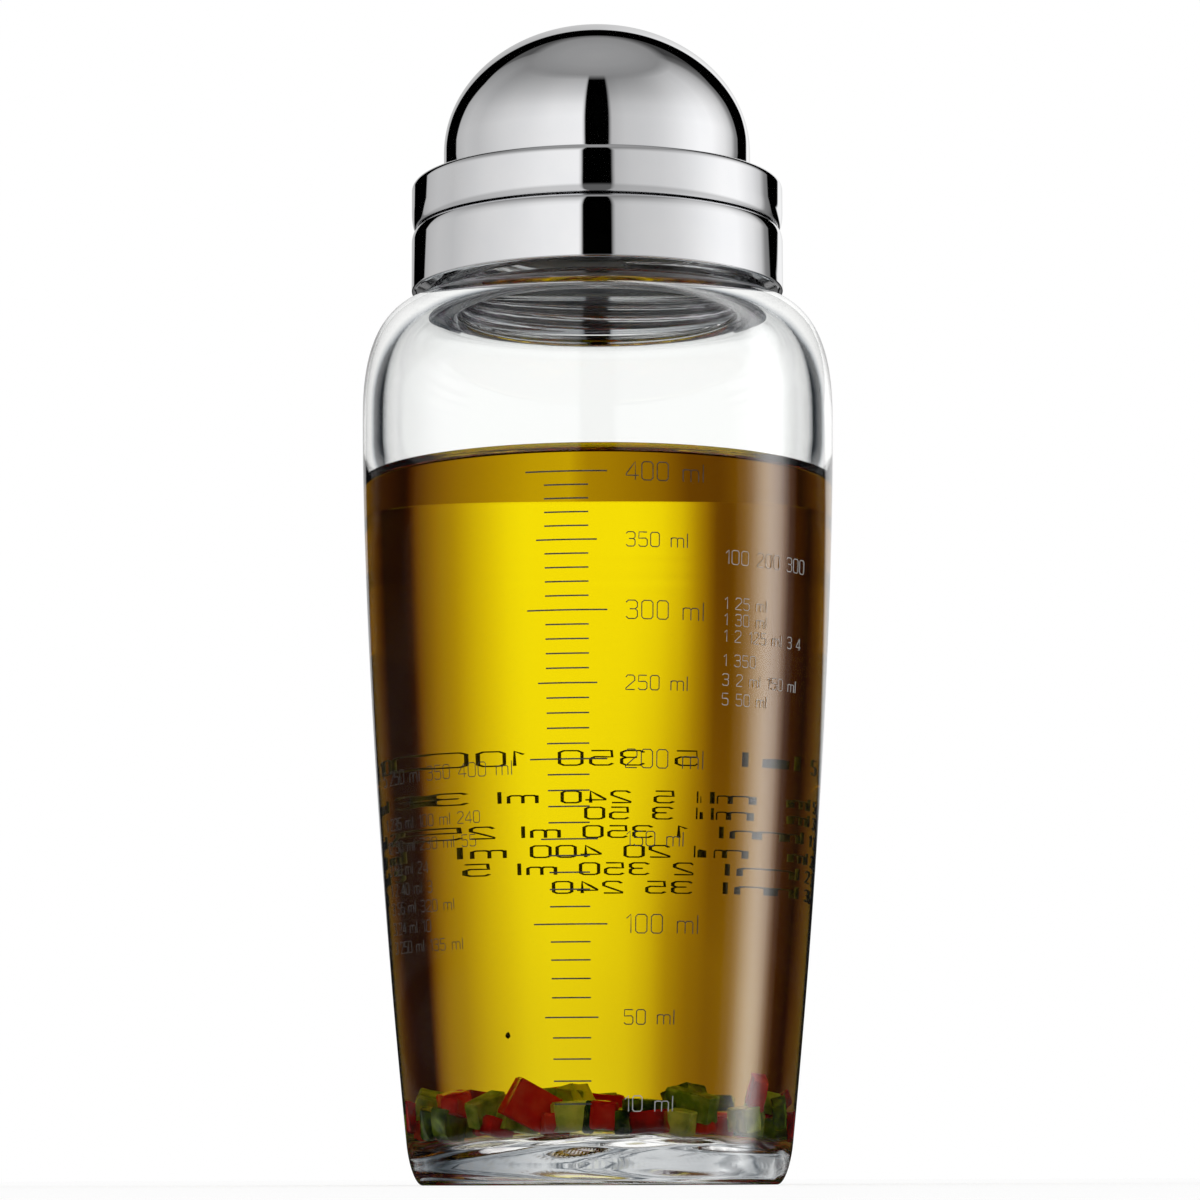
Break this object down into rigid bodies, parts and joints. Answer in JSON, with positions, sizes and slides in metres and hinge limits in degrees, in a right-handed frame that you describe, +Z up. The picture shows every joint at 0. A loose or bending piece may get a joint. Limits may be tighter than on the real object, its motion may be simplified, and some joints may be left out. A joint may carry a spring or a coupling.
{
  "type": "salad dressing shaker bottle",
  "caption": "Tapered clear glass dressing shaker with printed volume scale, oil and diced pepper inside, a screw collar with pouring spout and a domed pull-off steel cap.",
  "frame": {"origin": "middle of the foot, on the surface that the bottle stands on", "axes": "+Z up through the lid, -Y towards the viewer, with the printed scale on the -Y side, +X to the viewer's right"},
  "size_m": [0.0811, 0.0812, 0.2002],
  "materials": {
    "clear_glass": "gloss",
    "printed_ink": "satin",
    "dressing_oil": "gloss",
    "red_pepper": "gloss",
    "green_pepper": "gloss",
    "herb": "matte",
    "silicone": "satin",
    "polished_steel": "polished",
    "turned_steel": "satin",
    "insert_plastic": "satin",
    "liner_plastic": "satin"
  },
  "bodies": {
    "bottle": {"glass_bottle": "clear_glass", "scale_lines": "printed_ink", "dressing_oil": "dressing_oil", "red_pepper_dice": "red_pepper", "green_pepper_dice": "green_pepper", "herb_fleck": "herb"},
    "gasket": {"neck_gasket": "silicone"},
    "collar": {"collar_shell": "polished_steel", "thread_ring": "turned_steel", "pour_insert": "insert_plastic", "cap_grip_ring": "silicone"},
    "cap": {"cap_shell": "polished_steel", "cap_liner": "liner_plastic", "spout_seal": "silicone"}
  },
  "joints": [
    {"name": "thread_rise", "type": "slide", "parent": "bottle", "child": "gasket", "axis": [0, 0, 1], "range_m": [0, 0.0241]},
    {"name": "unscrew", "type": "hinge", "parent": "gasket", "child": "collar", "pos_m": [0, 0, 0.158], "axis": [0, 0, 1], "range_deg": [0, 1350]},
    {"name": "cap_lift", "type": "slide", "parent": "collar", "child": "cap", "axis": [0, 0, 1], "range_m": [0, 0.04]}
  ],
  "couplings": [
    {"joint": "thread_rise", "follows": "unscrew", "m_per_rad": 0.0010186}
  ]
}
